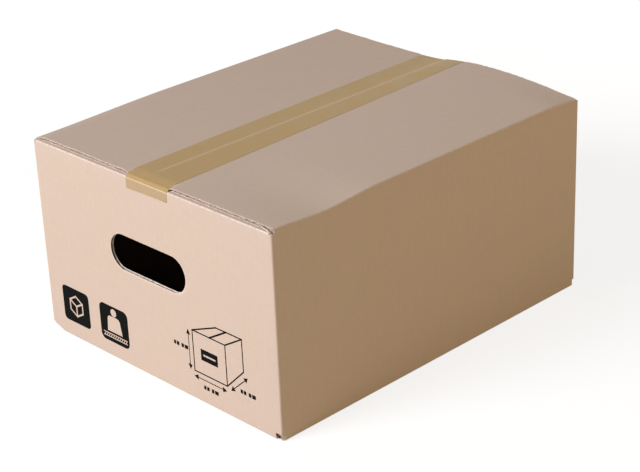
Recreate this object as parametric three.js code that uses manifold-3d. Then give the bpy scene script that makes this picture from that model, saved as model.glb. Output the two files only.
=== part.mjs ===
// Cardboard carton, folded from one blank of corrugated board and closed with packing tape.
// Millimetres, +Z up. The origin is the middle of the footprint, on the floor.
// The end panel in front faces -Y, and the long side panels face -X and +X.

import * as THREE from 'three';
import { mergeVertices } from 'three/addons/utils/BufferGeometryUtils.js';
import Module from 'manifold-3d';

const wasm = await Module();
wasm.setup();

// Carton, outside sizes
const cartonWidth = 290;
const cartonLength = 360;
const cartonHeight = 180;

// Corrugated board
const boardThickness = 3;
const foldOuterRadius = 1.6;
const foldInnerRadius = 0.4;
const layerGap = 0.4;
const slotSetback = 3;
const slotDepthPastFold = 2;
const slotEndOverlap = 0.6;
const bottomFoldRise = 0.4;
const foldStepClearance = 0.1;
const seamOffset = -3;
const seamGap = 1;

// Hand holes, one in each end panel
const handHoleWidth = 91;
const handHoleHeight = 32;
const handHoleOffsetX = -3.7;
const handHoleCentreZ = 106;
const handHoleSides = 14;

// Glued joint of the blank, inside the back left corner
const glueTabWidth = 35;
const glueTabEndInset = 14;
const glueTabTaper = 8;
const jointGrooveWidth = 0.5;

// Shape that the closed lid has taken
const crownHeight = 4.6;
const crownSkew = 0.8;
const seamRise = 0.9;
const leftDip = 1.4;
const foldSag = 3;
const foldSagCentreY = -125;
const foldSagReach = 58;
const cornerDrop = 2.4;
const cornerDropReach = 42;

// Packing tape
const tapeWidth = 50;
const tapeThickness = 0.3;
const tapeClearance = 0.25;
const tapeEndLength = 11;
const tapeFrontCentreX = 2;
const tapeBackCentreX = -9;

// Divisions of the curved sheets
const flapStations = 12;
const flapRows = 20;
const foldSegments = 4;
const tapeColumns = 8;
const weldTolerance = 0.005;

// Places that follow from the sizes
const halfWidth = cartonWidth / 2;
const halfLength = cartonLength / 2;
const flapDepth = cartonWidth / 2;
const minorLevel = boardThickness + layerGap;
const minorFlapHalf = halfWidth - boardThickness - layerGap;
const majorFlapHalf = halfLength - slotSetback;
const wallInset = minorLevel + 2 * boardThickness;
const legLength = 4 * boardThickness;
const bottomFoldStep = minorLevel - bottomFoldRise;
const foldStepRun = (slotSetback - foldOuterRadius - foldStepClearance) / 2;

function solidOf(geometry) {
  const bare = geometry.clone();
  bare.deleteAttribute('normal');
  bare.deleteAttribute('uv');
  const merged = mergeVertices(bare, 1e-4);
  const mesh = new wasm.Mesh({
    numProp: 3,
    vertProperties: new Float32Array(merged.attributes.position.array),
    triVerts: new Uint32Array(merged.index.array),
  });
  mesh.merge();
  return new wasm.Manifold(mesh);
}

function geometryOf(solid) {
  const mesh = solid.getMesh();
  const geometry = new THREE.BufferGeometry();
  geometry.setAttribute('position', new THREE.BufferAttribute(mesh.vertProperties, 3));
  geometry.setIndex(new THREE.BufferAttribute(mesh.triVerts, 1));
  geometry.computeVertexNormals();
  return geometry;
}

function box(xLow, xHigh, yLow, yHigh, zLow, zHigh) {
  const geometry = new THREE.BoxGeometry(xHigh - xLow, yHigh - yLow, zHigh - zLow);
  geometry.translate((xLow + xHigh) / 2, (yLow + yHigh) / 2, (zLow + zHigh) / 2);
  return solidOf(geometry);
}

// A sheet as a thin box, bent to follow an outer and an inner line of as many points. place()
// puts a point of either line at a share of the sheet's length.
function bentSheet(outer, inner, rows, place) {
  const stations = outer.length - 1;
  const geometry = new THREE.BoxGeometry(stations, 1, rows, stations, 1, rows);
  const position = geometry.attributes.position;
  for (let i = 0; i < position.count; i += 1) {
    const station = Math.round(position.getX(i) + stations / 2);
    const line = position.getY(i) > 0 ? outer : inner;
    const point = place(line[station], (position.getZ(i) + rows / 2) / rows);
    position.setXYZ(i, point.x, point.y, point.z);
  }
  return geometry;
}

function liftVertices(geometry, heightAt) {
  const position = geometry.attributes.position;
  for (let i = 0; i < position.count; i += 1) {
    const lift = heightAt(position.getX(i), position.getY(i), position.getZ(i));
    position.setZ(i, position.getZ(i) + lift);
  }
  return geometry;
}

function arcPoints(centreX, centreY, radius, fromAngle, toAngle) {
  const points = [];
  for (let i = 0; i <= foldSegments; i += 1) {
    const angle = THREE.MathUtils.lerp(fromAngle, toAngle, i / foldSegments);
    points.push(new THREE.Vector2(centreX + radius * Math.cos(angle), centreY + radius * Math.sin(angle)));
  }
  return points;
}

function bump(distance, reach) {
  if (Math.abs(distance) >= reach) return 0;
  return 0.5 + 0.5 * Math.cos(Math.PI * distance / reach);
}

// Height of the closed lid above its flat plane: the right flap crowns up towards the back,
// the left one dips a little beside the seam, and the right fold sags in two places.
function lidHeight(x, y) {
  const along = THREE.MathUtils.clamp((y + halfLength) / cartonLength, 0, 1);
  const backness = along ** 1.6;
  if (x < seamOffset) {
    const across = Math.min((seamOffset - x) / (seamOffset + halfWidth), 1);
    const dip = leftDip * Math.sin(Math.PI * Math.sqrt(across));
    return backness * (seamRise * (1 - across) ** 6 - dip);
  }
  const across = Math.min((x - seamOffset) / (halfWidth - seamOffset), 1);
  const crown = crownHeight * Math.sin(Math.PI * across ** crownSkew);
  const sag = foldSag * across ** 2 * bump(y - foldSagCentreY, foldSagReach);
  const drop = cornerDrop * across ** 3 * bump(halfLength - Math.min(y, halfLength), cornerDropReach);
  return backness * (crown + seamRise * (1 - across) ** 2) - sag - drop;
}

// A flap under the lid is only pressed down, never lifted.
function underLidHeight(x, y) {
  return Math.min(0, lidHeight(x, y));
}

function roundedRectangle(width, length, radius) {
  const path = new THREE.Shape();
  const x = width / 2 - radius;
  const y = length / 2 - radius;
  path.absarc(x, y, radius, 0, Math.PI / 2);
  path.absarc(-x, y, radius, Math.PI / 2, Math.PI);
  path.absarc(-x, -y, radius, Math.PI, 1.5 * Math.PI);
  path.absarc(x, -y, radius, 1.5 * Math.PI, 2 * Math.PI);
  path.closePath();
  return path;
}

// The four panels as one ring. Its vertical folds are round outside and crushed sharp inside.
function panelRing(zLow, zHigh) {
  const outline = roundedRectangle(cartonWidth, cartonLength, foldOuterRadius);
  const insideX = halfWidth - boardThickness;
  const insideY = halfLength - boardThickness;
  outline.holes.push(new THREE.Path([
    new THREE.Vector2(-insideX, -insideY), new THREE.Vector2(-insideX, insideY),
    new THREE.Vector2(insideX, insideY), new THREE.Vector2(insideX, -insideY),
  ]));
  const geometry = new THREE.ExtrudeGeometry(outline, {
    depth: zHigh - zLow, bevelEnabled: false, curveSegments: foldSegments,
  });
  geometry.translate(0, 0, zLow);
  return solidOf(geometry);
}

// What is left of the vertical folds between the slots. Below the slots' ends a fold and the flaps
// beside it are the same board, so the solids overlap a little there.
function cornerPosts(zLow, zHigh) {
  let corners = null;
  for (const sideX of [-1, 1]) {
    for (const sideY of [-1, 1]) {
      const xs = [sideX * (minorFlapHalf - slotEndOverlap), sideX * cartonWidth].sort((a, b) => a - b);
      const ys = [sideY * (majorFlapHalf - slotEndOverlap), sideY * cartonLength].sort((a, b) => a - b);
      const corner = box(xs[0], xs[1], ys[0], ys[1], 0, cartonHeight);
      corners = corners ? corners.add(corner) : corner;
    }
  }
  return panelRing(zLow, zHigh).intersect(corners);
}

// One face of a wall's edge, its fold and its flap, in section. The wall's outer face is at 0,
// and the flap runs to reach with its outer face at level. depth is 0 for the outer face.
// The fold's outer face stands by foldStep past the flap's.
function flapLine(reach, level, foldStep, depth, stations) {
  const radius = depth > 0 ? foldInnerRadius : foldOuterRadius;
  const start = depth + radius;
  const foldLevel = depth > 0 ? level - depth : level + foldStep;
  const line = [new THREE.Vector2(depth, level - legLength)];
  line.push(...arcPoints(start, foldLevel - radius, radius, Math.PI, Math.PI / 2));
  if (foldStep > 0) {
    line.push(new THREE.Vector2(start + foldStepRun, foldLevel));
    line.push(new THREE.Vector2(start + 2 * foldStepRun, level - depth));
  }
  const flapStart = line[line.length - 1].x;
  for (let i = 1; i <= stations; i += 1) {
    line.push(new THREE.Vector2(THREE.MathUtils.lerp(flapStart, reach, i / stations), level - depth));
  }
  return line;
}

// A flap for the lid keeps its curve, which fades out down the wall. One for the bottom is flat
// and turned under.
function flapSolid(reach, level, end, foldStep, place, heightAt) {
  const stations = end > 0 ? flapStations : 1;
  const rows = end > 0 ? flapRows : 1;
  const outer = flapLine(reach, level, foldStep, 0, stations);
  const inner = flapLine(reach, level, foldStep, boardThickness, stations);
  const geometry = bentSheet(outer, inner, rows, place);
  const bent = (x, y, z) => (z > level - legLength / 2 ? heightAt(x, y) : 0);
  if (end > 0) return solidOf(liftVertices(geometry, bent));
  geometry.translate(0, 0, -cartonHeight / 2);
  geometry.rotateX(Math.PI);
  geometry.translate(0, 0, cartonHeight / 2);
  return solidOf(geometry);
}

// A long flap, hinged on a side panel. side is -1 or 1, and end is 1 above and -1 below.
function majorFlap(side, end) {
  const reach = halfWidth - side * seamOffset - seamGap / 2;
  const place = (point, share) => new THREE.Vector3(
    side * (halfWidth - point.x), side * majorFlapHalf * (2 * share - 1), point.y);
  return flapSolid(reach, cartonHeight, end, 0, place, lidHeight);
}

// A short flap, hinged on an end panel and lying inside the long ones. At the bottom the end
// panel's fold reaches down beside the long flaps' cut edges, almost to the floor.
function minorFlap(side, end) {
  const place = (point, share) => new THREE.Vector3(
    side * minorFlapHalf * (1 - 2 * share), side * (halfLength - point.x), point.y);
  const foldStep = end > 0 ? 0 : bottomFoldStep;
  return flapSolid(flapDepth, cartonHeight - minorLevel, end, foldStep, place, underLidHeight);
}

function handHoleCutter(side) {
  const radius = handHoleHeight / 2;
  const run = handHoleWidth / 2 - radius;
  const shape = new THREE.Shape();
  shape.absarc(run, 0, radius, -Math.PI / 2, Math.PI / 2);
  shape.absarc(-run, 0, radius, Math.PI / 2, 1.5 * Math.PI);
  shape.closePath();
  const geometry = new THREE.ExtrudeGeometry(shape, {
    depth: 4 * boardThickness, bevelEnabled: false, curveSegments: handHoleSides,
  });
  geometry.rotateX(Math.PI / 2);
  geometry.translate(handHoleOffsetX, 2 * boardThickness, handHoleCentreZ);
  if (side > 0) geometry.rotateZ(Math.PI);
  geometry.translate(0, side * halfLength, 0);
  return solidOf(geometry);
}

// The tab that joins the blank's two ends, glued flat inside the back panel.
function glueTab() {
  const low = glueTabEndInset;
  const high = cartonHeight - glueTabEndInset;
  const shape = new THREE.Shape();
  shape.moveTo(0, low);
  shape.lineTo(glueTabWidth, low + glueTabTaper);
  shape.lineTo(glueTabWidth, high - glueTabTaper);
  shape.lineTo(0, high);
  shape.closePath();
  const geometry = new THREE.ExtrudeGeometry(shape, { depth: boardThickness, bevelEnabled: false });
  geometry.rotateX(Math.PI / 2);
  geometry.translate(-halfWidth + boardThickness, halfLength - boardThickness, 0);
  return solidOf(geometry);
}

// The groove beside the back panel's raw end, where the glued joint closes.
function jointGroove() {
  const y = halfLength - boardThickness;
  return box(-halfWidth - 1, -halfWidth + boardThickness - foldInnerRadius,
    y - jointGrooveWidth, y, 0, cartonHeight);
}

function foldedCarton() {
  const postEnd = minorLevel + slotDepthPastFold;
  let carton = panelRing(wallInset, cartonHeight - wallInset).add(glueTab());
  carton = carton.add(cornerPosts(postEnd, cartonHeight - postEnd));
  carton = carton.subtract(jointGroove());
  for (const side of [-1, 1]) {
    for (const end of [-1, 1]) {
      carton = carton.add(majorFlap(side, end)).add(minorFlap(side, end));
    }
    carton = carton.subtract(handHoleCutter(side));
  }
  const material = new THREE.MeshStandardMaterial({ color: '#c9ae9a', roughness: 0.92, metalness: 0 });
  const tidied = carton.asOriginal().simplify(weldTolerance);
  const mesh = new THREE.Mesh(geometryOf(tidied), material);
  mesh.name = 'folded_carton';
  return mesh;
}

// The tape's route in Y and Z, at a given distance above the board: up the front panel, round
// its fold, straight to the long flaps' cut edge, along them and down the same way behind.
function tapeRoute(above) {
  const foldY = foldOuterRadius - halfLength;
  const foldZ = cartonHeight - minorLevel - foldOuterRadius;
  const rise = cartonHeight - foldZ;
  const run = -majorFlapHalf - foldY;
  const leaveAngle = Math.atan2(rise, run) + Math.acos(foldOuterRadius / Math.hypot(rise, run));
  const front = [new THREE.Vector2(-halfLength - above, foldZ + foldOuterRadius - tapeEndLength)];
  front.push(...arcPoints(foldY, foldZ, foldOuterRadius + above, Math.PI, leaveAngle));
  front.push(...arcPoints(-majorFlapHalf, cartonHeight, above, leaveAngle, Math.PI / 2));
  const back = front.slice().reverse().map((point) => new THREE.Vector2(-point.x, point.y));
  for (let i = 1; i < flapRows; i += 1) {
    front.push(new THREE.Vector2(-majorFlapHalf + i * 2 * majorFlapHalf / flapRows, cartonHeight + above));
  }
  return front.concat(back);
}

// The tape follows the long flaps on top, and the end panels' folds below them.
function tapeLift(x, y, z) {
  return z > cartonHeight ? lidHeight(x, y) : underLidHeight(x, y);
}

function tapeCentreX(y) {
  return THREE.MathUtils.mapLinear(y, -halfLength, halfLength, tapeFrontCentreX, tapeBackCentreX);
}

function topTape() {
  const place = (point, share) => new THREE.Vector3(
    tapeCentreX(point.x) + tapeWidth * (share - 0.5), point.x, point.y);
  const outer = tapeRoute(tapeClearance + tapeThickness);
  const inner = tapeRoute(tapeClearance);
  const geometry = liftVertices(bentSheet(outer, inner, tapeColumns, place), tapeLift);
  const material = new THREE.MeshStandardMaterial({ color: '#b49a68', roughness: 0.35, metalness: 0 });
  const mesh = new THREE.Mesh(geometryOf(solidOf(geometry)), material);
  mesh.name = 'top_tape';
  return mesh;
}

const carton = new THREE.Group();
carton.add(foldedCarton(), topTape());

export default carton;
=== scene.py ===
"""Looks of a closed, taped cardboard carton: folded board, fluted cut edges, print and tape."""
import random
from math import acos, atan2, cos, hypot, pi, radians, sin, sqrt

import bmesh
import bpy
from bpy.props import FloatProperty, FloatVectorProperty, IntProperty, PointerProperty
from mathutils import Matrix, Vector


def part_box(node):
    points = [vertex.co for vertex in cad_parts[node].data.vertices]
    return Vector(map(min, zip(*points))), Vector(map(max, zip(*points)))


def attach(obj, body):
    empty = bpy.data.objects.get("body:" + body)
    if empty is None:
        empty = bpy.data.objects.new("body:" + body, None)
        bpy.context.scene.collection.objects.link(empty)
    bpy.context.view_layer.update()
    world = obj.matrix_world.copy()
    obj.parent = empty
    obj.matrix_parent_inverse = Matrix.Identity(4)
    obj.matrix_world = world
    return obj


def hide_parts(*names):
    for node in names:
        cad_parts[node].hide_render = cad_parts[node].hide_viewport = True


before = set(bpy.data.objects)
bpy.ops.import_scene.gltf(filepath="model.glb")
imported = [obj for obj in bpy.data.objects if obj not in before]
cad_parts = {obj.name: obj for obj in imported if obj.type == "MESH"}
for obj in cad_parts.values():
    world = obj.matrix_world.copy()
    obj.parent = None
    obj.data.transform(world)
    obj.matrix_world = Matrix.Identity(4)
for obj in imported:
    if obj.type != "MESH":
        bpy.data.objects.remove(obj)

bl_info = {
    "name": "Taped cardboard carton",
    "version": (1, 0, 0),
    "blender": (4, 5, 0),
    "location": "View3D > Sidebar > Carton",
    "description": "Builds a closed corrugated carton with hand holes, printed marks and packing tape",
    "category": "Add Mesh",
}

MM = 0.001
SHARP_ANGLE = radians(32)
FOLD_STEPS = 8
FLAP_ROWS = 60
BOW_GROWTH = 1.6
TAPE_COVER = 30 * MM
POINTS_PER_FLUTE = 10.0
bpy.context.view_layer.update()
CARTON_LOW, CARTON_HIGH = (Vector(corner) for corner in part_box("folded_carton"))
HALF_WIDTH = (CARTON_HIGH.x - CARTON_LOW.x) / 2
HALF_LENGTH = (CARTON_HIGH.y - CARTON_LOW.y) / 2


def a_length(name, description, millimetres):
    default = millimetres * MM
    return FloatProperty(name=name, description=description, default=default, unit="LENGTH")


def an_angle(name, description, degrees):
    default = radians(degrees)
    return FloatProperty(name=name, description=description, default=default, subtype="ANGLE")


def a_colour(name, description, default):
    return FloatVectorProperty(
        name=name, description=description, default=default, subtype="COLOR", size=3, min=0, max=1)


class BoardSizes(bpy.types.PropertyGroup):
    """Sizes of the corrugated board and of how it is folded"""

    lid_level: a_length("Lid level", "Height of the flat lid above the floor", 180)
    thickness: a_length("Board thickness", "Thickness of the corrugated board", 3)
    liner: a_length("Liner lip", "Thickness of a liner's edge at a cut", 0.55)
    fold_radius: a_length("Fold radius", "Outer radius of a fold", 1.6)
    fold_inner: a_length("Fold crush", "Inner radius of a fold", 0.3)
    fold_rise: a_length("Bottom fold rise", "End panels' clearance from the floor", 0.4)
    layer_drop: a_length("Layer drop", "How far a short flap lies under a long one", 3.4)
    slot_setback: a_length("Slot setback", "Half the width of a slot between flaps", 3)
    slot_depth: a_length("Slot depth", "How far a bottom slot runs past a panel's fold", 3)
    top_slot_depth: a_length("Top slot depth", "The same for a slot in the lid", 0.9)
    slot_reach: a_length("Slot reach", "How far a bottom slot cuts into an end panel", 7)
    leg: a_length("Leg", "Length of wall that belongs to a flap's sheet", 12)
    flap_depth: a_length("Flap depth", "How far a short flap reaches in", 145)
    knock: a_length("Knock", "How far the front left bottom corner is knocked up", 5.2)
    knock_reach: a_length("Knock reach", "Length of board that this bends", 15)
    seam_offset: a_length("Seam offset", "Where the long flaps meet, from the middle", -3)
    seam_gap: a_length("Seam gap", "Air between the long flaps", 1)
    edge_groove: a_length("Edge groove", "Depth of the hollow between liners at a cut", 1.4)
    tear: a_length("Tear", "How far a torn edge strays", 0.8)
    flute_pitch: a_length("Flute pitch", "Distance from flute to flute", 6.5)


class LidShape(bpy.types.PropertyGroup):
    """The bow that the closed lid has taken"""

    crown: a_length("Crown", "Rise of the right flap at the back", 4.6)
    seam_rise: a_length("Seam rise", "Rise of the seam at the back", 0.9)
    left_dip: a_length("Left dip", "Dip of the left flap at the back", 1.4)
    fold_sag: a_length("Fold sag", "Sag of the right fold near the front", 3)
    sag_centre: a_length("Sag place", "Where the right fold sags most", -125)
    sag_reach: a_length("Sag reach", "Half the length of that sag", 58)
    corner_drop: a_length("Corner drop", "Drop of the back right corner", 2.4)
    corner_reach: a_length("Corner reach", "Length of that drop", 42)
    droop: a_length("Droop", "Drop of the left flap's front corner", 2.6)
    droop_across: a_length("Droop across", "Width of that drop", 14)
    droop_along: a_length("Droop along", "Length of that drop", 150)
    press: a_length("Press", "How far the tape presses the long flaps' ends down", 1.9)
    back_press: a_length("Back press", "The same at the back", 0.5)
    press_along: a_length("Press along", "Length of flap that this bends", 9)


class HandHoleSizes(bpy.types.PropertyGroup):
    """Sizes of the hand hole in each end panel"""

    width: a_length("Width", "Width of the hole", 93)
    height: a_length("Height", "Height of the hole", 32)
    offset: a_length("Offset", "Distance from the panel's middle", -4.7)
    centre_height: a_length("Centre height", "Height of its middle above the floor", 106)
    pocket: a_length("Pocket", "Depth of the open flutes round the hole", 9)
    recess: a_length("Recess", "How far the fluted paper lies behind the cut", 0.7)


class TapeSizes(bpy.types.PropertyGroup):
    """Sizes and course of the packing tape"""

    width: a_length("Width", "Width of the tape", 50)
    film: a_length("Film", "Thickness of the tape", 0.12)
    lift: a_length("Lift", "Glue line under the tape", 0.06)
    end_length: a_length("End length", "How far the tape runs down the end panels", 11)
    front_centre: a_length("Front centre", "Middle of the tape at the front", 2)
    back_centre: a_length("Back centre", "Middle of the tape at the back", -6.5)
    tooth: a_length("Tooth", "Depth of the cut teeth at its ends", 0.6)


class CartonColours(bpy.types.PropertyGroup):
    """Colours of the carton's materials"""

    kraft: a_colour("Kraft", "Board liner", (0.652, 0.515, 0.432))
    kraft_warm: a_colour("Warm kraft", "Yellower patches of the liner", (0.652, 0.520, 0.421))
    # Partly the inner liner's own colour and partly painted shade: kept darker than the outside to paint
    # the shade inside the carton and in the hand holes' hollows.
    inner_kraft_and_shade: a_colour("Inner kraft", "Board's inner face", (0.300, 0.205, 0.145))
    worn: a_colour("Worn fold", "Liner rubbed pale along a fold", (0.930, 0.830, 0.760))
    cut_edge: a_colour("Cut edge", "Raw edge of the board", (0.700, 0.560, 0.480))
    # Darkened well below the medium's own colour: painted shade in the hollow between the liners at a
    # cut.
    crushed: a_colour("Crushed flutes", "Paper between the liners at a cut", (0.340, 0.270, 0.240))
    medium: a_colour("Medium", "Fluted paper between the liners", (0.640, 0.500, 0.400))
    ink: a_colour("Ink", "Printed marks", (0.0072, 0.0076, 0.0072))
    tape: a_colour("Tape", "Packing tape over board", (0.500, 0.340, 0.148))
    # Painted highlight along the ridge over the seam.
    tape_seam_highlight: a_colour("Tape seam", "Tape over the seam", (0.610, 0.440, 0.270))
    # The tape's tint on the end panels: painted light, the same film tinted for how light falls there.
    tape_end_lit: a_colour("Tape end", "Tape on the end panels", (0.485, 0.350, 0.205))
    # Painted highlight where the tape bends round the end panels' folds.
    tape_crease_highlight: a_colour("Tape crease", "Tape where it is folded", (0.780, 0.650, 0.480))


class StageSizes(bpy.types.PropertyGroup):
    """Camera and lamps"""

    lens: FloatProperty(name="Lens", description="Focal length", default=100.5, unit="CAMERA")
    azimuth: an_angle("Azimuth", "Camera's direction", 46.38)
    elevation: an_angle("Elevation", "Camera's height angle", 24.93)
    roll: an_angle("Roll", "Camera's lean to the right", 2.41)
    place: FloatVectorProperty(name="Place", description="Camera's place", subtype="XYZ", size=3,
                               default=(1.0226, -0.9673, 0.7217))
    key_power: FloatProperty(name="Key power", description="Main lamp", default=158.5, unit="POWER")
    fill_power: FloatProperty(name="Fill power", description="Warm lamp", default=8.4, unit="POWER")
    ambient: a_colour("Ambient", "Light from all round", (0.25, 0.235, 0.21))


class CartonSettings(bpy.types.PropertyGroup):
    """Everything that the carton's operators read"""

    board: PointerProperty(type=BoardSizes)
    lid: PointerProperty(type=LidShape)
    hand_hole: PointerProperty(type=HandHoleSizes)
    tape: PointerProperty(type=TapeSizes)
    colours: PointerProperty(type=CartonColours)
    stage: PointerProperty(type=StageSizes)
    seed: IntProperty(name="Seed", description="Seed of the ragged edges", default=7)


def settings():
    return bpy.context.scene.carton_settings


# Node helpers

def add_node(tree, kind, values=None, **traits):
    node = tree.nodes.new(kind)
    for name, value in traits.items():
        setattr(node, name, value)
    for socket, value in (values or {}).items():
        if isinstance(value, bpy.types.NodeSocket):
            tree.links.new(value, node.inputs[socket])
        else:
            node.inputs[socket].default_value = value
    return node


def calculate(tree, operation, first, second=0.0):
    values = {0: first, 1: second}
    return add_node(tree, "ShaderNodeMath", values, operation=operation).outputs[0]


def product(tree, first, second):
    return calculate(tree, "MULTIPLY", first, second)


def weighted_sum(tree, base, *parts):
    """base plus each value times its weight."""
    for value, weight in parts:
        base = calculate(tree, "ADD", product(tree, value, weight), base)
    return base


def mix_colours(tree, factor, first, second):
    values = {"Factor": factor, 6: first, 7: second}
    return add_node(tree, "ShaderNodeMix", values, data_type="RGBA").outputs[2]


def noise(tree, place, scale, detail=2.0, roughness=0.5):
    values = {"Vector": place, "Scale": scale, "Detail": detail, "Roughness": roughness}
    return add_node(tree, "ShaderNodeTexNoise", values).outputs["Fac"]


def stretched(tree, place, scale):
    return add_node(tree, "ShaderNodeMapping", {"Vector": place, "Scale": scale}).outputs[0]


def remap(tree, value, low, high, to_low=0.0, to_high=1.0):
    values = {"Value": value, "From Min": low, "From Max": high, "To Min": to_low, "To Max": to_high}
    return add_node(tree, "ShaderNodeMapRange", values).outputs[0]


def attribute(tree, name):
    return add_node(tree, "ShaderNodeAttribute", attribute_name=name).outputs["Fac"]


def object_place(tree):
    return add_node(tree, "ShaderNodeTexCoord").outputs["Object"]


def axes_of(tree, place):
    return add_node(tree, "ShaderNodeSeparateXYZ", {0: place}).outputs


def camera_sees(tree):
    """One on rays from the camera, also by way of a mirror or glass, and nothing on others."""
    path = add_node(tree, "ShaderNodeLightPath").outputs
    indirect = calculate(tree, "MAXIMUM", path["Is Glossy Ray"], path["Is Transmission Ray"])
    return calculate(tree, "MAXIMUM", path["Is Camera Ray"], indirect)


def tinted(tree, colour, tone):
    values = {0: colour, 1: tone}
    return add_node(tree, "ShaderNodeVectorMath", values, operation="MULTIPLY").outputs[0]


def dress(tree, shader, colour, height=None, strength=0.0, distance=0.0):
    """Gives a shader its colour, and its bump where a height is given."""
    tree.links.new(colour, shader.inputs["Base Color"])
    if height is not None:
        values = {"Height": height, "Strength": strength, "Distance": distance}
        bump = add_node(tree, "ShaderNodeBump", values)
        tree.links.new(bump.outputs[0], shader.inputs["Normal"])


def new_material(name, roughness, specular):
    """A material with its node tree, its shader and the place on the object that it reads."""
    material = bpy.data.materials.new(name)
    material.use_nodes = True
    tree = material.node_tree
    shader = tree.nodes["Principled BSDF"]
    shader.inputs["Roughness"].default_value = roughness
    shader.inputs["Specular IOR Level"].default_value = specular
    return material, tree, shader, object_place(tree)


def opaque(colour):
    return (*colour, 1.0)


# Materials

def flute_stripes(tree, place, pitch):
    """A wave across the flutes, which run up the panels and inwards on the long flaps."""
    axes = axes_of(tree, place)
    facing = axes_of(tree, add_node(tree, "ShaderNodeNewGeometry").outputs["Normal"])
    on_end = calculate(tree, "GREATER_THAN", calculate(tree, "ABSOLUTE", facing["Y"]), 0.5)
    elsewhere = calculate(tree, "SUBTRACT", 1.0, on_end)
    across = weighted_sum(tree, product(tree, axes["X"], on_end), (axes["Y"], elsewhere))
    return calculate(tree, "SINE", product(tree, across, 2 * pi / pitch))


def liner_material(name, kraft, kraft_warm):
    """Kraft liner: soft mottling, fine fibres, faint flutes and folds rubbed pale."""
    colours = settings().colours
    material, tree, shader, place = new_material(name, 0.9, 0.22)
    stripes = flute_stripes(tree, place, settings().board.flute_pitch)
    clouds = remap(tree, noise(tree, place, 26, 3), 0.35, 0.65)
    base = mix_colours(tree, clouds, opaque(kraft), opaque(kraft_warm))
    patches = noise(tree, place, 160, 4, 0.6)
    fibres = noise(tree, stretched(tree, place, (1, 1, 0.35)), 1500, 3, 0.65)
    tone = weighted_sum(tree, 0.885, (patches, 0.07), (fibres, 0.16), (stripes, 0.004))
    uneven = remap(tree, noise(tree, place, 420, 3), 0.3, 0.62)
    rubbed = product(tree, attribute(tree, "fold_wear"), uneven)
    colour = mix_colours(tree, rubbed, tinted(tree, base, tone), opaque(colours.worn))
    height = weighted_sum(tree, 0.0, (stripes, 0.06), (fibres, 0.30), (patches, 0.8))
    dress(tree, shader, colour, height, 0.5, 0.12 * MM)
    return material


def torn_paper_material(name, colour, contrast, scale=1800):
    """Rough raw paper, for cut edges and for the fluted medium."""
    material, tree, shader, place = new_material(name, 0.95, 0.1)
    grain = noise(tree, place, scale, 4, 0.7)
    dark = tuple(channel * (1 - contrast) for channel in colour)
    pale = tuple(min(channel * (1 + contrast), 1.0) for channel in colour)
    shade = mix_colours(tree, remap(tree, grain, 0.35, 0.65), opaque(dark), opaque(pale))
    dress(tree, shader, shade, grain, 0.7, 0.15 * MM)
    return material


def ink_material():
    """Flexographic ink, a little thin over the paper's fibres."""
    colours = settings().colours
    material, tree, shader, place = new_material("printed_ink", 0.7, 0.02)
    specks = remap(tree, noise(tree, place, 1400, 4, 0.7), 0.62, 0.78, 0.0, 0.06)
    dress(tree, shader, mix_colours(tree, specks, opaque(colours.ink), opaque(colours.kraft)))
    return material


def tape_material():
    """Brown film tape with fine streaks along it. Its paler tints over the seam and on its folds are
    painted highlights, and its tint on the end panels is painted light.
    """
    colours = settings().colours
    material, tree, shader, place = new_material("brown_tape", 0.42, 0.14)
    streaks = noise(tree, stretched(tree, place, (1, 0.03, 1)), 700, 3, 0.6)
    clouds = noise(tree, place, 45, 3)
    shade = weighted_sum(tree, 0.90, (streaks, 0.10), (clouds, 0.10))
    film = opaque(colours.tape)
    # Paler over the seam and on the creases as painted highlights, and tinted on the end panels as
    # painted light.
    for name, tint in (("seam", colours.tape_seam_highlight), ("on_panel", colours.tape_end_lit),
                       ("crease", colours.tape_crease_highlight)):
        film = mix_colours(tree, attribute(tree, name), film, opaque(tint))
    wrinkles = noise(tree, stretched(tree, place, (1, 0.25, 1)), 120, 3, 0.55)
    height = weighted_sum(tree, wrinkles, (streaks, 0.15))
    dress(tree, shader, tinted(tree, film, shade), height, 0.25, 0.3 * MM)
    roughness = remap(tree, clouds, 0.3, 0.7, 0.36, 0.48)
    tree.links.new(roughness, shader.inputs["Roughness"])
    return material


def floor_material():
    """Pale floor, which the camera sees as white with the carton's soft shadow."""
    material = bpy.data.materials.new("studio_floor")
    material.use_nodes = True
    tree = material.node_tree
    tree.nodes.remove(tree.nodes["Principled BSDF"])
    plain = add_node(tree, "ShaderNodeBsdfDiffuse", {"Color": (0.60, 0.53, 0.42, 1)}).outputs[0]
    faint = add_node(tree, "ShaderNodeBsdfDiffuse", {"Color": (0.30, 0.30, 0.30, 1)}).outputs[0]
    place = object_place(tree)
    away = add_node(tree, "ShaderNodeVectorMath", {0: place}, operation="LENGTH").outputs["Value"]
    glow_strength = remap(tree, away, 0.45, 1.6, 0.80, 1.0)
    glow = add_node(tree, "ShaderNodeEmission", {"Strength": glow_strength}).outputs[0]
    seen = add_node(tree, "ShaderNodeAddShader", {0: faint, 1: glow}).outputs[0]
    mixed = add_node(tree, "ShaderNodeMixShader", {0: camera_sees(tree), 1: plain, 2: seen}).outputs[0]
    tree.links.new(mixed, tree.nodes["Material Output"].inputs["Surface"])
    return material


# Shape of the closed lid

def minor_half():
    """Half the width of an end panel and of its short lid flap."""
    return HALF_WIDTH - settings().board.layer_drop


def major_half():
    """Half the length of a side panel and of its long flaps."""
    return HALF_LENGTH - settings().board.slot_setback


def bump_share(distance, reach):
    if abs(distance) >= reach:
        return 0.0
    return 0.5 + 0.5 * cos(pi * distance / reach)


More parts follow.
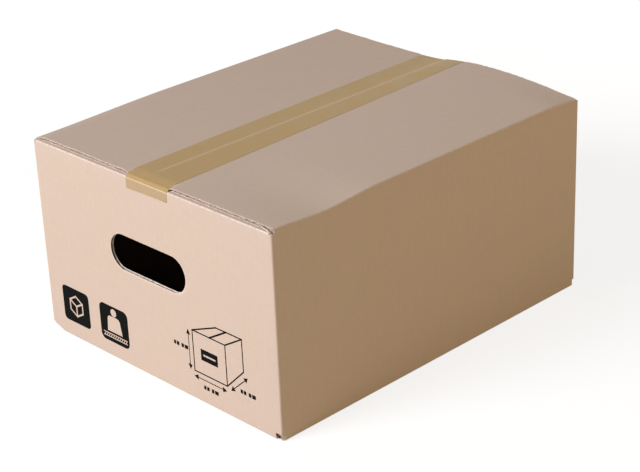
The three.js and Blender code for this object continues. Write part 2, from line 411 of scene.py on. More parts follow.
def lid_height(x, y):
    """Height of the closed lid above its flat plane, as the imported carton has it."""
    lid = settings().lid
    seam = settings().board.seam_offset
    along = min(max((y + HALF_LENGTH) / (2 * HALF_LENGTH), 0.0), 1.0)
    backness = along ** BOW_GROWTH
    if x < seam:
        across = min((seam - x) / (seam + HALF_WIDTH), 1.0)
        dip = lid.left_dip * sin(pi * sqrt(across))
        return backness * (lid.seam_rise * (1 - across) ** 6 - dip)
    across = min((x - seam) / (HALF_WIDTH - seam), 1.0)
    crown = lid.crown * sin(pi * across ** 0.8)
    sag = lid.fold_sag * across ** 2 * bump_share(y - lid.sag_centre, lid.sag_reach)
    drop = lid.corner_drop * across ** 3 * bump_share(HALF_LENGTH - min(y, HALF_LENGTH), lid.corner_reach)
    return backness * (crown + lid.seam_rise * (1 - across) ** 2) - sag - drop


def pressed_depth(x, y):
    """How far the tape presses the ends of the two long flaps down."""
    lid = settings().lid
    tape = settings().tape
    centre, press = (tape.front_centre, lid.press) if y < 0 else (tape.back_centre, lid.back_press)
    inset, spread = 1 * MM, 5 * MM
    beside = max(abs(x - centre) - tape.width / 2 + inset, 0.0)
    from_end = max(major_half() - abs(y), 0.0)
    return press * bump_share(beside, spread) * bump_share(from_end, lid.press_along)


def under_lid_height(x, y):
    return min(0.0, lid_height(x, y))


# Mesh helpers

def link_object(name, data):
    made = bpy.data.objects.new(name, data)
    bpy.context.scene.collection.objects.link(made)
    return made


def make_piece(bm, name, materials):
    """Turns a finished bmesh into an object, with its faces outwards."""
    bmesh.ops.recalc_face_normals(bm, faces=bm.faces)
    mesh = bpy.data.meshes.new(name)
    bm.to_mesh(mesh)
    bm.free()
    mesh.set_sharp_from_angle(angle=SHARP_ANGLE)
    for material in materials:
        mesh.materials.append(material)
    return link_object(name, mesh)


class BoardMesh:
    """Collects closed shells of board in one mesh, with a wear value on every vertex."""

    # The inside and crushed finishes have darker colours, partly painted shade.
    LINER, EDGE, INSIDE, CRUSHED = 0, 1, 2, 3

    def __init__(self):
        self.bm = bmesh.new()
        self.wear = self.bm.verts.layers.float.new("fold_wear")

    def ring(self, points, wear=0.0):
        verts = [self.bm.verts.new(point) for point in points]
        for vert in verts:
            vert[self.wear] = wear
        return verts

    def face(self, verts, material=LINER):
        made = self.bm.faces.new(verts)
        made.material_index = material
        made.smooth = True

    def bridge(self, first, second, finishes=None):
        """Joins two closed rings. finishes gives the steps that aren't plain liner their finish."""
        count = len(first)
        for i in range(count):
            j = (i + 1) % count
            material = (finishes or {}).get(i, self.LINER)
            self.face((first[i], first[j], second[j], second[i]), material)


def box_corners(low, high):
    """A rectangle's corners, from the low one along and then up."""
    return [low, (high[0], low[1]), high, (low[0], high[1])]


def round_pairs(points):
    """Every point with the one after it, round a closed outline."""
    return list(zip(points, points[1:] + points[:1]))


def arc_points(centre, radius, start, end, steps):
    points = []
    for i in range(steps + 1):
        angle = start + (end - start) * i / steps
        points.append((centre[0] + radius * cos(angle), centre[1] + radius * sin(angle)))
    return points


def flap_line(reach, level, fold_step, stations, depth):
    """Points (inwards from the wall's outer face, up) along a wall's edge, its fold and its flap."""
    board = settings().board
    radius = board.fold_inner if depth > 0 else board.fold_radius
    start = depth + radius
    fold_level = level - depth if depth > 0 else level + fold_step
    line = [(depth, level - board.leg)]
    line += arc_points((start, fold_level - radius), radius, pi, pi / 2, FOLD_STEPS)
    if fold_step > 0:
        run_share = 0.45
        run = (board.slot_setback - board.fold_radius) * run_share
        line += [(start + run, fold_level), (start + 2 * run, level - depth)]
    flap_start = line[-1][0]
    for i in range(1, stations + 1):
        line.append((flap_start + (reach - flap_start) * i / stations, level - depth))
    return line


def section_ring(low, high):
    """Points (row, depth share) round a flap's cross section, hollow at its two raw edges."""
    board = settings().board
    groove = board.edge_groove
    lip = board.liner / board.thickness
    run = high - low - 2 * groove
    inner = [low + groove + run * i / FLAP_ROWS for i in range(FLAP_ROWS + 1)]
    places = [low, *inner, high]
    ring = [(place, 0.0) for place in places]
    ring += [(high, lip), (high - groove, lip), (high - groove, 1 - lip), (high, 1 - lip)]
    ring += [(place, 1.0) for place in reversed(places)]
    ring += [(low, 1 - lip), (low + groove, 1 - lip), (low + groove, lip), (low, lip)]
    return ring, len(places)


def cap_flap(mesh, ring, count):
    """Closes the end of a flap's section ring, round the hollows at its raw edges."""
    last = count - 1
    far, near = ring[count:count + 4], ring[2 * count + 4:2 * count + 8]
    under = ring[count + 4:2 * count + 4][::-1]
    lips = ((ring[last - 1], ring[last], far[0], far[1]), (far[2], far[3], under[last], under[last - 1]),
            (under[1], under[0], near[0], near[1]), (near[2], near[3], ring[0], ring[1]))
    for corners in lips:
        mesh.face(corners, mesh.EDGE)
    for k in range(1, last - 1):
        corners = [ring[k], ring[k + 1]]
        if k + 1 == last - 1:
            corners += [far[1], far[2]]
        corners += [under[k + 1], under[k]]
        if k == 1:
            corners += [near[1], near[2]]
        mesh.face(corners, mesh.EDGE)


def add_flap(mesh, line, low, high, wear, place, rng, crushed=False):
    """One flap with its fold and the top of its wall, as a closed sheet with torn raw edges.

    line holds what flap_line takes before its depth.
    """
    board = settings().board
    outer, inner = (flap_line(*line, depth) for depth in (0.0, board.thickness))
    layout, count = section_ring(low, high)
    hollows = {count + 1, count + 2, 2 * count + 5, 2 * count + 6}
    finishes = dict.fromkeys(range(count - 1, 2 * count + 8), mesh.EDGE)
    # The flap's underside takes the darker inside colour, partly painted shade.
    finishes.update(dict.fromkeys(range(count + 4, 2 * count + 3), mesh.INSIDE))
    # The hollows' bottoms at the raw edges take the darkened crushed colour, painted shade between the
    # liners.
    finishes.update(dict.fromkeys((count + 1, 2 * count + 5), mesh.CRUSHED))
    middle = (low + high) / 2
    tear_under_tape, tear_inwards = 0.3, 0.3
    previous = first = None
    for index, (top, bottom) in enumerate(zip(outer, inner)):
        at_end = index in (0, len(outer) - 1)
        rough = board.tear * (tear_under_tape if top[0] > HALF_WIDTH - TAPE_COVER else 1.0)
        tear = 0.0 if at_end or index < 2 else rough * (rng.random() ** 2 - tear_inwards)
        deep = 0.0 if crushed and index < FOLD_STEPS + 3 else rng.random() ** 2
        sink = 0.0 if at_end else board.edge_groove * (0.85 - 1.7 * deep)
        points = []
        for number, (row, share) in enumerate(layout):
            inward = top[0] + (bottom[0] - top[0]) * share
            up = top[1] + (bottom[1] - top[1]) * share
            side = 1 if row > middle else -1
            if number in hollows:
                row += side * sink
            elif row in (low, high):
                row += side * tear * (1 if share < 0.5 else -1)
            points.append(place(inward, row, up, index > 0))
        on_fold = max(0.0, 1 - abs(index - 1 - FOLD_STEPS / 2) / 3) ** 1.5 * wear
        ring = mesh.ring(points, on_fold)
        for vert in (ring[0], ring[count - 1]):
            vert[mesh.wear] = max(on_fold, 0.3 + 0.7 * rng.random() if index > 2 else 0.0)
        if previous:
            mesh.bridge(previous, ring, finishes)
        else:
            first = ring
        previous = ring
    cap_flap(mesh, first, count)
    cap_flap(mesh, previous, count)


def slot_is_closed(side_x, side_y, end):
    """The knocked front left bottom corner shows no slot."""
    return side_x < 0 and side_y < 0 and end < 0


def knocked_corner(x, y):
    """How far the front left bottom corner is knocked up."""
    board = settings().board
    near_x = max(0.0, 1 - (x + HALF_WIDTH) / board.knock_reach)
    near_y = max(0.0, 1 - (y + HALF_LENGTH) / board.knock_reach)
    return board.knock * near_x * near_y


def front_droop(side, y):
    """How far the left long flap's fold hangs below the lid's plane, most at the front."""
    lid = settings().lid
    if side > 0:
        return 0.0
    return lid.droop * bump_share(y + HALF_LENGTH, lid.droop_along)


def add_major_flap(mesh, side, end, rng):
    """A long flap on a side panel. side is -1 or 1, and end is 1 for the lid and -1 below."""
    board = settings().board
    reach = HALF_WIDTH - side * board.seam_offset - board.seam_gap / 2

    def place(inward, row, up, bent):
        x = side * (HALF_WIDTH - inward)
        if end < 0:
            lift = knocked_corner(x, row) if bent else 0.0
            return Vector((x, row, board.lid_level - up + lift))
        hang = front_droop(side, row) * bump_share(inward, settings().lid.droop_across)
        hang += pressed_depth(x, row)
        return Vector((x, row, up + (lid_height(x, row) - hang if bent else 0.0)))

    stations = 56 if end > 0 else 24
    line = (reach, board.lid_level, 0.0, stations)
    add_flap(mesh, line, -major_half(), major_half(), 0.25, place, rng, end > 0)


def add_minor_flap(mesh, side, end, rng):
    """A short flap on an end panel, inside the long ones."""
    board = settings().board
    half = minor_half() if end > 0 else HALF_WIDTH - board.slot_reach
    low = -minor_half() if slot_is_closed(-1, side, end) else -half
    step = 0.0 if end > 0 else board.layer_drop - board.fold_rise

    def place(inward, row, up, bent):
        y = side * (HALF_LENGTH - inward)
        if end < 0:
            lift = knocked_corner(row, y) if bent else 0.0
            return Vector((row, y, board.lid_level - up + lift))
        return Vector((row, y, up + (under_lid_height(row, y) if bent else 0.0)))

    level = board.lid_level - board.layer_drop
    stations = 40 if end > 0 else 16
    line = (board.flap_depth, level, step, stations)
    add_flap(mesh, line, low, half, 1.0, place, rng)


def wall_heights(drop):
    board = settings().board
    low = drop + board.leg
    return low, board.lid_level - low


def stadium_point(direction, radius, run):
    """Where a ray from a stadium's middle meets its outline."""
    x, z = direction
    if abs(z) > 1e-9 and abs(x) * radius / abs(z) <= run:
        share = radius / abs(z)
        return x * share, z * share
    size = hypot(x, z)
    ux, uz = x / size, z / size
    along = run * abs(ux)
    reach = along + sqrt(max(along * along - run * run + radius * radius, 0.0))
    return ux * reach, uz * reach


def rectangle_points(low, high, across, up):
    """Evenly spaced points round a rectangle, from its low corner."""
    points = []
    for (start, end), steps in zip(round_pairs(box_corners(low, high)), (across, up, across, up)):
        for i in range(steps):
            points.append(tuple(a + (b - a) * i / steps for a, b in zip(start, end)))
    return points


def add_end_panel(mesh, side, rng):
    """An end panel with its hand hole, whose cut edge is open between the liners."""
    board = settings().board
    hole = settings().hand_hole
    low_z, high_z = wall_heights(board.layer_drop)
    half = minor_half()
    centre = Vector((hole.offset, hole.centre_height))
    across_steps, up_steps = 46, 34
    low, high = (-half - centre.x, low_z - centre.y), (half - centre.x, high_z - centre.y)
    frame_points = rectangle_points(low, high, across_steps, up_steps)
    radius = hole.height / 2
    run = hole.width / 2 - radius
    lip, far_lip = board.liner, board.thickness - board.liner

    def ring(share, growth, depth, wear=0.0, ragged=0.0):
        points = []
        for corner in frame_points:
            near = stadium_point(corner, radius + growth + ragged * rng.random(), run)
            x = near[0] + (corner[0] - near[0]) * share + centre.x
            z = near[1] + (corner[1] - near[1]) * share + centre.y
            points.append(Vector((-side * x, side * (HALF_LENGTH - depth), z)))
        return mesh.ring(points, wear)

    shares = (1.0, 0.7, 0.45, 0.25, 0.1, 0.03)
    fray = 0.5 * MM
    # Finish, growth, depth, wear and raggedness of the rings round the cut, from the outside in. The
    # pocket rings in the hollow between the liners take the darker inside colour as painted shade.
    cut = ((mesh.LINER, 0.25 * MM, 0.0, 0.3, fray), (mesh.LINER, 0, 0.2 * MM, 0.7),
           (mesh.LINER, 0, lip, 1.0, fray), (mesh.INSIDE, hole.pocket, lip),
           (mesh.INSIDE, hole.pocket, far_lip), (mesh.INSIDE, 0, far_lip, 1.0, fray),
           (mesh.LINER, 0, board.thickness, 1.0))
    rings = [(ring(share, 0, 0), mesh.LINER) for share in shares]
    rings += [(ring(0, *values), finish) for finish, *values in cut]
    # The panel's inner face takes the darker inside colour, partly painted shade.
    rings += [(ring(share, 0, board.thickness), mesh.INSIDE) for share in reversed(shares)]
    for (first, _), (second, finish) in zip(rings, rings[1:] + [(rings[0][0], mesh.EDGE)]):
        mesh.bridge(first, second, dict.fromkeys(range(len(frame_points)), finish))


def add_prism(mesh, outline, low, high, finishes=None):
    """A closed prism of board on an outline in X and Y, with raw ends."""
    bottom = mesh.ring([Vector((x, y, low)) for x, y in outline])
    top = mesh.ring([Vector((x, y, high)) for x, y in outline])
    mesh.bridge(bottom, top, finishes)
    mesh.face(bottom, mesh.EDGE)
    mesh.face(top, mesh.EDGE)


def add_side_panel(mesh, side):
    board = settings().board
    low, high = wall_heights(0.0)
    half = major_half()
    x_out = side * HALF_WIDTH
    x_in = side * (HALF_WIDTH - board.thickness)
    outline = [(x_out, -half), (x_out, half), (x_in, half), (x_in, -half)]
    # The inner face takes the darker inside colour, partly painted shade.
    add_prism(mesh, outline, low, high, {2: mesh.INSIDE})


def add_corner(mesh, side_x, side_y):
    """A vertical fold between two panels, cut short above and below by the slots."""
    board = settings().board
    radius = board.fold_radius
    inner_x = HALF_WIDTH - board.thickness
    inner_y = HALF_LENGTH - board.thickness
    outline = [(HALF_WIDTH, inner_y)]
    outline += arc_points((HALF_WIDTH - radius, HALF_LENGTH - radius), radius, 0.0, pi / 2, 8)
    outline += [(minor_half(), HALF_LENGTH), (minor_half(), inner_y), (inner_x, inner_y)]
    low = board.layer_drop + board.slot_depth
    high = board.lid_level - board.layer_drop - board.top_slot_depth
    add_prism(mesh, [(side_x * x, side_y * y) for x, y in outline], low, high)
    if slot_is_closed(side_x, side_y, -1):
        return
    shoulder = box_corners((minor_half(), HALF_LENGTH), (HALF_WIDTH - board.slot_reach, inner_y))
    top = board.layer_drop + board.leg
    add_prism(mesh, [(side_x * x, side_y * y) for x, y in shoulder], low, top)


def add_torn_strip(mesh):
    """A strip torn off the right long flap's edge, curled down to the front panel's corner."""
    width, film = 1.1 * MM, 0.25 * MM
    course = ((126.0, 177.2, 179.9, 1.25), (129.0, 177.9, 179.8, 1.0), (132.5, 178.4, 179.4, 0.7),
              (136.0, 178.5, 178.6, 0.35), (139.5, 178.9, 178.0, 0.15), (142.5, 179.5, 177.4, 0.3),
              (144.3, 180.0, 176.9, 0.5))
    rings = []
    for index, (x, ahead, up, lean) in enumerate(course):
        share = sin(pi * (index + 0.5) / len(course))
        middle = Vector((x, -ahead, up)) * MM
        across = Vector((0, -sin(lean), cos(lean))) * width / 2 * (0.35 + 0.65 * share)
        thick = Vector((0, cos(lean), sin(lean))) * film / 2
        corners = (middle + across + thick, middle - across + thick,
                   middle - across - thick, middle + across - thick)
        rings.append(mesh.ring(corners, 0.9))
    for first, second in zip(rings, rings[1:]):
        mesh.bridge(first, second)
    mesh.face(rings[0])
    mesh.face(rings[-1])


def build_board(rng):
    mesh = BoardMesh()
    add_torn_strip(mesh)
    for side in (-1, 1):
        add_end_panel(mesh, side, rng)
        add_side_panel(mesh, side)
        for end in (-1, 1):
            add_major_flap(mesh, side, end, rng)
            add_minor_flap(mesh, side, end, rng)
            add_corner(mesh, side, end)
    return mesh


# Fluted medium in the hand holes' cut edges

def flute_tree(material, sizes):
    """Geometry Nodes: a wavy sheet that fills a ring of board round a stadium-shaped hole."""
    tree = bpy.data.node_groups.new("fluted_medium", "GeometryNodeTree")
    for name, default in sizes.items():
        socket = tree.interface.new_socket(name, in_out="INPUT", socket_type="NodeSocketFloat")
        socket.default_value = default
    tree.interface.new_socket("Geometry", in_out="OUTPUT", socket_type="NodeSocketGeometry")
    given = add_node(tree, "NodeGroupInput").outputs
    round_share = 0.8
    half_width = weighted_sum(tree, given["Run"], (given["Radius"], round_share))
    width = product(tree, half_width, 2.0)
    flutes = calculate(tree, "DIVIDE", width, given["Pitch"])
    columns = calculate(tree, "ROUND", product(tree, flutes, POINTS_PER_FLUTE))
    values = {"Size X": width, "Size Y": 1.0, "Vertices X": columns, "Vertices Y": 2}
    grid = add_node(tree, "GeometryNodeMeshGrid", values).outputs["Mesh"]
    place = axes_of(tree, add_node(tree, "GeometryNodeInputPosition").outputs[0])
    off_middle = calculate(tree, "ABSOLUTE", place["X"])
    past = calculate(tree, "MAXIMUM", calculate(tree, "SUBTRACT", off_middle, given["Run"]), 0.0)
    past_squared = product(tree, past, past)

    def outline_height(radius):
        left = calculate(tree, "SUBTRACT", product(tree, radius, radius), past_squared)
        return calculate(tree, "SQRT", calculate(tree, "MAXIMUM", left, 0.0))

    near = calculate(tree, "ADD", outline_height(given["Radius"]), given["Recess"])
    reach = calculate(tree, "ADD", given["Radius"], given["Pocket"])
    far = calculate(tree, "MAXIMUM", outline_height(reach), near)
    share = calculate(tree, "ADD", place["Y"], 0.5)
    up = weighted_sum(tree, near, (calculate(tree, "SUBTRACT", far, near), share))
    turns = calculate(tree, "DIVIDE", place["X"], given["Pitch"])
    wave = calculate(tree, "SINE", product(tree, turns, 2 * pi))
    depth = product(tree, wave, given["Wave"])
    joined = add_node(tree, "GeometryNodeJoinGeometry")
    for way in (1.0, -1.0):
        values = {"X": place["X"], "Y": depth, "Z": product(tree, up, way)}
        target = add_node(tree, "ShaderNodeCombineXYZ", values).outputs[0]
        moved = add_node(tree, "GeometryNodeSetPosition", {"Geometry": grid, "Position": target})
        tree.links.new(moved.outputs[0], joined.inputs[0])
    real = add_node(tree, "GeometryNodeRealizeInstances", {0: joined.outputs[0]}).outputs[0]
    dressed = add_node(tree, "GeometryNodeSetMaterial", {"Geometry": real, "Material": material})
    add_node(tree, "NodeGroupOutput", {0: dressed.outputs[0]})
    return tree


def fluted_medium(side, material):
    """The wavy paper seen in one hand hole's cut edge, as a plain closed mesh."""
    board = settings().board
    hole = settings().hand_hole
    name = "flutes_front" if side < 0 else "flutes_back"
    film, play = 0.6 * MM, 0.2 * MM
    sizes = {"Pitch": board.flute_pitch, "Wave": board.thickness / 2 - board.liner - film / 2,
             "Run": (hole.width - hole.height) / 2, "Radius": hole.height / 2,
             "Pocket": hole.pocket - play, "Recess": hole.recess}
    holder = link_object(name, bpy.data.meshes.new(name))
    modifier = holder.modifiers.new("Flutes", "NODES")
    modifier.node_group = flute_tree(material, sizes)
    for item in modifier.node_group.interface.items_tree:
        if item.name in sizes:
            modifier[item.identifier] = sizes[item.name]
    solidify = holder.modifiers.new("Paper", "SOLIDIFY")
    solidify.thickness = film
    solidify.offset = 0.0
    graph = bpy.context.evaluated_depsgraph_get()
    made = bpy.data.meshes.new_from_object(holder.evaluated_get(graph))
    turn = Matrix.Rotation(pi if side > 0 else 0.0, 4, "Z")
    move = Matrix.Translation((hole.offset, -(HALF_LENGTH - board.thickness / 2), hole.centre_height))
    made.transform(turn @ move)
    made.name = name
    bpy.data.objects.remove(holder)
    return link_object(name, made)


# Printed marks

def rounded_box(low, high, radius):
    points = []
    corners = box_corners((low[0] + radius, low[1] + radius), (high[0] - radius, high[1] - radius))
    for quarter, corner in enumerate(corners, 2):
        points += arc_points(corner, radius, quarter * pi / 2, (quarter + 1) * pi / 2, 6)
    return points


def disc(centre, radius):
    return arc_points(centre, radius, 0.0, 2 * pi * 35 / 36, 35)


def stroke(start, end, width):
    """A straight line with square ends, as an outline of four points."""
    tip = (Vector(end) - Vector(start)).normalized() * width / 2
    side = Vector((-tip.y, tip.x))
    first, last = Vector(start) - tip, Vector(end) + tip
    return [first + side, first - side, last - side, last + side]


def arrow(start, end, width, head):
    """A thin line with a solid head at both ends."""
    begin, finish = Vector(start), Vector(end)
    way = (finish - begin).normalized()
    side = Vector((-way.y, way.x)) * head * 0.5
    shapes = [stroke(begin + way * head, finish - way * head, width)]
    for tip, inward in ((begin, way), (finish, -way)):
        base = tip + inward * head
        shapes.append([tip, base + side, base - side])
    return shapes


def caption_blocks(left, low, height):
    """A short row of plain blocks beside an arrow."""
    spans = ((0.0, 2.6), (3.5, 6.5), (9.2, 12.2), (13.1, 17.3))
    return [box_corners((left + near, low), (left + far, low + height)) for near, far in spans]


def cube_glyph(centre, size, width):
    """A plain open cube in three-quarter view."""
    x, z = centre
    half, up = size * 0.44, size * 0.5
    places = ((0, 1), (-1, 0.5), (-1, -0.5), (0, -1), (1, -0.5), (1, 0.5))
    rim = [(x + half * across, z + up * high) for across, high in places]
    lines = round_pairs(rim) + [(rim[1], centre), (rim[5], centre), (centre, rim[3])]
    return [stroke(start, end, width) for start, end in lines]


def weight_glyph():
    """A figure as a disc over a broad body, on hatched ground."""
    body = [(78.8, 24.4), (98.4, 24.4), (96.0, 36.8), (94.8, 38.6), (92.6, 39.2),
            (82.8, 39.2), (81.0, 38.4), (80.0, 36.8)]
    shapes = [disc((88.4, 43.2), 3.7), body]
    shapes += [stroke((73.2, z), (104.0, z), 0.8) for z in (22.0, 18.8)]
    for i in range(11):
        x = 74.2 + 2.8 * i
        shapes.append(stroke((x, 19.2), (x + 1.6, 21.6), 0.8))
    return shapes


def carton_drawing():
    """A line drawing of a carton, with an arrow along each of its three sizes."""
    back_left, back_right, back_low = (219.6, 75.4), (249.4, 75.7), (249.5, 47.0)
    seam = ((211.0, 63.5), (231.6, 75.6))
    thin, medium, bold = 1.15, 1.275, 1.5
    corners = box_corners((190.4, 27.0), (229.2, 63.5))
    shapes = [stroke(start, end, thin) for start, end in round_pairs(corners)]
    shapes += [stroke(corners[3], back_left, medium), stroke(back_left, back_right, thin),
               stroke(corners[2], back_right, medium), stroke(back_right, back_low, thin),
               stroke(corners[1], back_low, thin), stroke(*seam, bold)]
    shapes.append(box_corners((199.4, 39.8), (219.4, 50.0)))
    for start, end in (((185.3, 26.0), (185.3, 62.8)), ((189.3, 22.0), (228.4, 22.0)),
                       ((233.6, 24.6), (254.0, 43.0))):
        shapes += arrow(start, end, 0.8, 4.9)
    for left, low in ((166.6, 43.2), (200.4, 13.6), (244.8, 27.0)):
        shapes += caption_blocks(left, low, 3.4)
    return shapes


def add_marks(bm, shapes, proud, material_index):
    """Thin closed plates on the front panel, in millimetres from its lower left corner."""
    for number, shape in enumerate(shapes):
        sunk, height = 0.01 * MM, (proud + 0.0015 * number) * MM
        low, top = ([bm.verts.new((x * MM - HALF_WIDTH, y - HALF_LENGTH, z * MM)) for x, z in shape]
                    for y in (sunk, -height))
        for corners in (low, top, *zip(low, low[1:] + low[:1], top[1:] + top[:1], top)):
            bm.faces.new(corners).material_index = material_index


# Packing tape

def tape_end_route(above, press):
    """Points (Y, up) up an end panel, over its fold and onto the long flaps' pressed ends."""
    board = settings().board
    tape = settings().tape
    radius = board.fold_radius
    fold_y = radius - HALF_LENGTH
    fold_z = board.lid_level - board.layer_drop - radius
    edge = major_half()
    rise, run = board.lid_level - press - fold_z, -edge - fold_y
    leave = atan2(rise, run) + acos(radius / hypot(rise, run))
    start = fold_z + radius - tape.end_length + 0.6 * MM
    route = [(-HALF_LENGTH - above, start + (fold_z - start) * i / 5) for i in range(5)]
    route += arc_points((fold_y, fold_z), radius + above, pi, leave, 5)
    return route + arc_points((-edge, board.lid_level), above, leave, pi / 2, 4)


def tape_route(above):
    """Points (Y, up) from the front panel over the lid and down behind."""
    lid = settings().lid
    edge = major_half()
    level = settings().board.lid_level + above
    front = tape_end_route(above, lid.press)
    back = [(-y, z) for y, z in reversed(tape_end_route(above, lid.back_press))]
    steps = 90
    middle = [(-edge + 2 * edge * i / steps, level) for i in range(1, steps)]
    return front + middle + back


def tape_point(y, z, share):
    """A point of the tape, share of its width across, and how near it is to the seam."""
    tape = settings().tape
    board = settings().board
    ridge, ridge_reach, fade_start, fade_run = 0.12 * MM, 2.2 * MM, 12 * MM, 14 * MM
    along = (y + HALF_LENGTH) / (2 * HALF_LENGTH)
    x = tape.front_centre + (tape.back_centre - tape.front_centre) * along + tape.width * (share - 0.5)
    on_lid = z > board.lid_level
    height = lid_height(x, y) - pressed_depth(x, y) if on_lid else under_lid_height(x, y)
    # Nearness to the seam raises a small ridge and masks the painted highlight over it.
    near_seam = bump_share(x - board.seam_offset, ridge_reach) if on_lid else 0.0
    near_seam *= min(max((y + HALF_LENGTH - fade_start) / fade_run, 0.0), 1.0)
    return Vector((x, y, z + height + ridge * near_seam)), near_seam


def add_strip(bm, first, second, smooth=False):
    """Four-sided faces between two rows of points."""
    for corners in zip(first, first[1:], second[1:], second):
        bm.faces.new(corners).smooth = smooth


def build_tape():
    """The tape as a thin closed film, with values for its seam, its ends and its creases, which mask its
    painted highlights and the painted light of its end tint.
    """
    tape = settings().tape
    bm = bmesh.new()
    names = ("seam", "on_panel", "crease")
    for name in names:
        bm.verts.layers.float.new(name)
    seam, on_panel, crease = (bm.verts.layers.float[name] for name in names)
    columns, fold_end, fold_run = 48, 9, 3
    rng = random.Random(settings().seed)
    nicks = [rng.random() * 0.5 for _ in range(columns + 1)]
    shells = []
    for above in (tape.lift + tape.film, tape.lift):
        route = tape_route(above)
        rows = []
        for index, (y, z) in enumerate(route):
            row = []
            from_end = min(index, len(route) - 1 - index)
            creased = fold_end - fold_run < from_end < fold_end
            for column in range(columns + 1):
                place, near_seam = tape_point(y, z, column / columns)
                if from_end == 0:
                    slant = 2.4 * column / columns
                    place.z += tape.tooth * (column % 2 + nicks[column] + slant)
                vert = bm.verts.new(place)
                # Mask of the painted highlight over the seam.
                vert[seam] = near_seam
                # Mask of the end panels, where the tape takes its painted end tint.
                vert[on_panel] = min(max((fold_end - from_end) / fold_run, 0.0), 1.0)
                # Mask of the painted highlight on the tape's fold, uneven along it.
                vert[crease] = 0.6 + 0.8 * nicks[column] if creased else 0.0
                row.append(vert)
            rows.append(row)
        shells.append(rows)
    for rows in shells:
        for near, far in zip(rows, rows[1:]):
            add_strip(bm, near, far, smooth=True)
    outer, inner = shells
    for last in (0, -1):
        add_strip(bm, outer[last], inner[last])
        add_strip(bm, [row[last] for row in outer], [row[last] for row in inner])
    return make_piece(bm, "packing_tape", [tape_material()])


def seat(piece, slot, *nodes):
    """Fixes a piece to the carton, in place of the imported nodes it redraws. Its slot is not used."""
    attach(piece, "root")
    if nodes:
        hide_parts(*nodes)


# Operators

class CARTON_OT_board(bpy.types.Operator):
    """Build the folded board with its flaps, slots, folds and hand holes"""

    bl_idname = "carton.board"
    bl_label = "Folded board"

    def execute(self, context):
        rng = random.Random(settings().seed)
        colours = settings().colours
        raw = torn_paper_material("raw_board_edge", colours.cut_edge, 0.35, 900)
        # The crushed flutes' dark colour is painted shade in the hollows between the liners.
        crushed = torn_paper_material("crushed_flutes_and_shade", colours.crushed, 0.45, 700)
        outside = liner_material("kraft_liner", colours.kraft, colours.kraft_warm)
        # Inner faces in a darker kraft, partly painted shade inside the carton and in the hand holes'
        # hollows.
        inside = liner_material("inner_liner_and_shade", colours.inner_kraft_and_shade, colours.inner_kraft_and_shade)
        piece = make_piece(build_board(rng).bm, "carton_board", [outside, raw, inside, crushed])
        seat(piece, "corrugated_board", "folded_carton")
        return {"FINISHED"}


class CARTON_OT_flutes(bpy.types.Operator):
    """Build the fluted medium that shows in both hand holes' cut edges"""

    bl_idname = "carton.flutes"
    bl_label = "Fluted medium"

    def execute(self, context):
        material = torn_paper_material("fluted_paper", settings().colours.medium, 0.15)
        for side in (-1, 1):
            seat(fluted_medium(side, material), "corrugated_board")
        return {"FINISHED"}


class CARTON_OT_print(bpy.types.Operator):
    """Build the printed marks on the front end panel"""

    bl_idname = "carton.print"
    bl_label = "Printed marks"

    def execute(self, context):
        bm = bmesh.new()
        badges = [rounded_box((18.8, 15.4), (54.8, 48.4), 4.2),
                  rounded_box((69.6, 14.6), (107.0, 49.0), 5.5)]
        label_bar = stroke((203.0, 44.9), (215.8, 44.9), 1.6)
        ink, bare = 0, 1
        add_marks(bm, badges, 0.03, ink)
        add_marks(bm, cube_glyph((36.8, 31.9), 19.0, 1.5), 0.045, bare)
        add_marks(bm, weight_glyph(), 0.045, bare)
        add_marks(bm, carton_drawing(), 0.03, ink)
        add_marks(bm, [label_bar], 0.075, bare)
        materials = [ink_material(), bpy.data.materials["kraft_liner"]]
        seat(make_piece(bm, "printed_marks", materials), "corrugated_board")
        return {"FINISHED"}


class CARTON_OT_tape(bpy.types.Operator):
    """Build the packing tape along the lid's seam"""

    bl_idname = "carton.tape"
    bl_label = "Packing tape"

    def execute(self, context):
        seat(build_tape(), "packing_tape", "top_tape")
        return {"FINISHED"}


def add_lamp(name, place, size, power, colour):
    lamp = bpy.data.lights.new(name, "AREA")
    lamp.shape = "DISK"
    lamp.size = size
    lamp.energy = power
    lamp.color = colour
    holder = link_object(name, lamp)
    holder.location = place
    aim = Vector((0, 0, settings().board.lid_level / 2)) - Vector(place)
    holder.rotation_euler = aim.to_track_quat("-Z", "Y").to_euler()


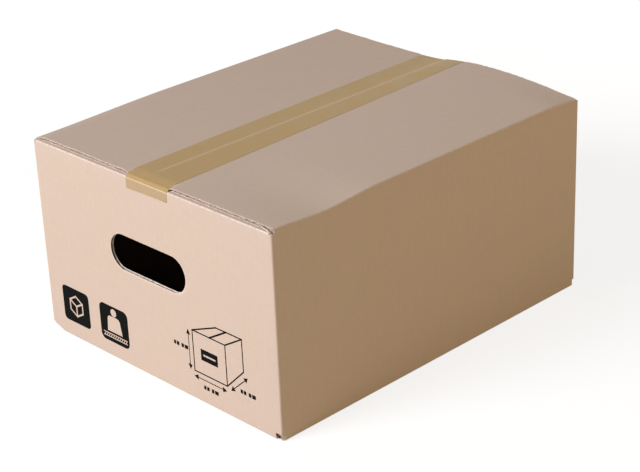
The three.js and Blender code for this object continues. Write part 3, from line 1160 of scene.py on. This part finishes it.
class CARTON_OT_stage(bpy.types.Operator):
    """Set up the floor, the lamps and the camera"""

    bl_idname = "carton.stage"
    bl_label = "Floor, lamps and camera"

    def execute(self, context):
        stage = settings().stage
        scene = context.scene
        half = 6.0
        mesh = bpy.data.meshes.new("studio_floor")
        corners = [(x, y, 0) for x, y in box_corners((-half, -half), (half, half))]
        mesh.from_pydata(corners, [], [(0, 1, 2, 3)])
        mesh.materials.append(floor_material())
        link_object("studio_floor", mesh)
        add_lamp("key_lamp", (-0.98, -3.60, 1.95), 2.0, stage.key_power, (1.0, 1.0, 1.05))
        add_lamp("fill_lamp", (2.0, 0.5, 0.55), 1.0, stage.fill_power, (1.0, 0.72, 0.33))
        world = bpy.data.worlds.new("studio")
        world.use_nodes = True
        scene.world = world
        tree = world.node_tree
        colour = mix_colours(tree, camera_sees(tree), opaque(stage.ambient), (1, 1, 1, 1))
        tree.links.new(colour, tree.nodes["Background"].inputs["Color"])
        scene.view_settings.view_transform = "Standard"
        self.add_camera(scene, stage)
        return {"FINISHED"}

    @staticmethod
    def add_camera(scene, stage):
        camera = bpy.data.cameras.new("photo_camera")
        camera.lens = stage.lens
        camera.sensor_width = 36
        camera.clip_start = 0.01
        camera.clip_end = 50
        place = Matrix.Translation(stage.place)
        for angle, axis in ((stage.azimuth, "Z"), (pi / 2 - stage.elevation, "X"), (-stage.roll, "Z")):
            place = place @ Matrix.Rotation(angle, 4, axis)
        scene.camera = link_object("photo_camera", camera)
        scene.camera.matrix_world = place


class CARTON_PT_panel(bpy.types.Panel):
    """Lists the carton's operators"""

    bl_label = "Carton"
    bl_idname = "CARTON_PT_panel"
    bl_space_type = "VIEW_3D"
    bl_region_type = "UI"
    bl_category = "Carton"

    def draw(self, context):
        for operator in OPERATORS:
            self.layout.operator(operator.bl_idname)


OPERATORS = (CARTON_OT_stage, CARTON_OT_board, CARTON_OT_flutes, CARTON_OT_print, CARTON_OT_tape)
CLASSES = (BoardSizes, LidShape, HandHoleSizes, TapeSizes, CartonColours, StageSizes, CartonSettings,
           *OPERATORS, CARTON_PT_panel)


def register():
    for item in CLASSES:
        bpy.utils.register_class(item)
    bpy.types.Scene.carton_settings = PointerProperty(type=CartonSettings)


def unregister():
    del bpy.types.Scene.carton_settings
    for item in reversed(CLASSES):
        bpy.utils.unregister_class(item)


def main():
    register()
    bpy.ops.carton.stage()
    bpy.ops.carton.board()
    bpy.ops.carton.flutes()
    bpy.ops.carton.print()
    bpy.ops.carton.tape()


if __name__ == "__main__":
    main()
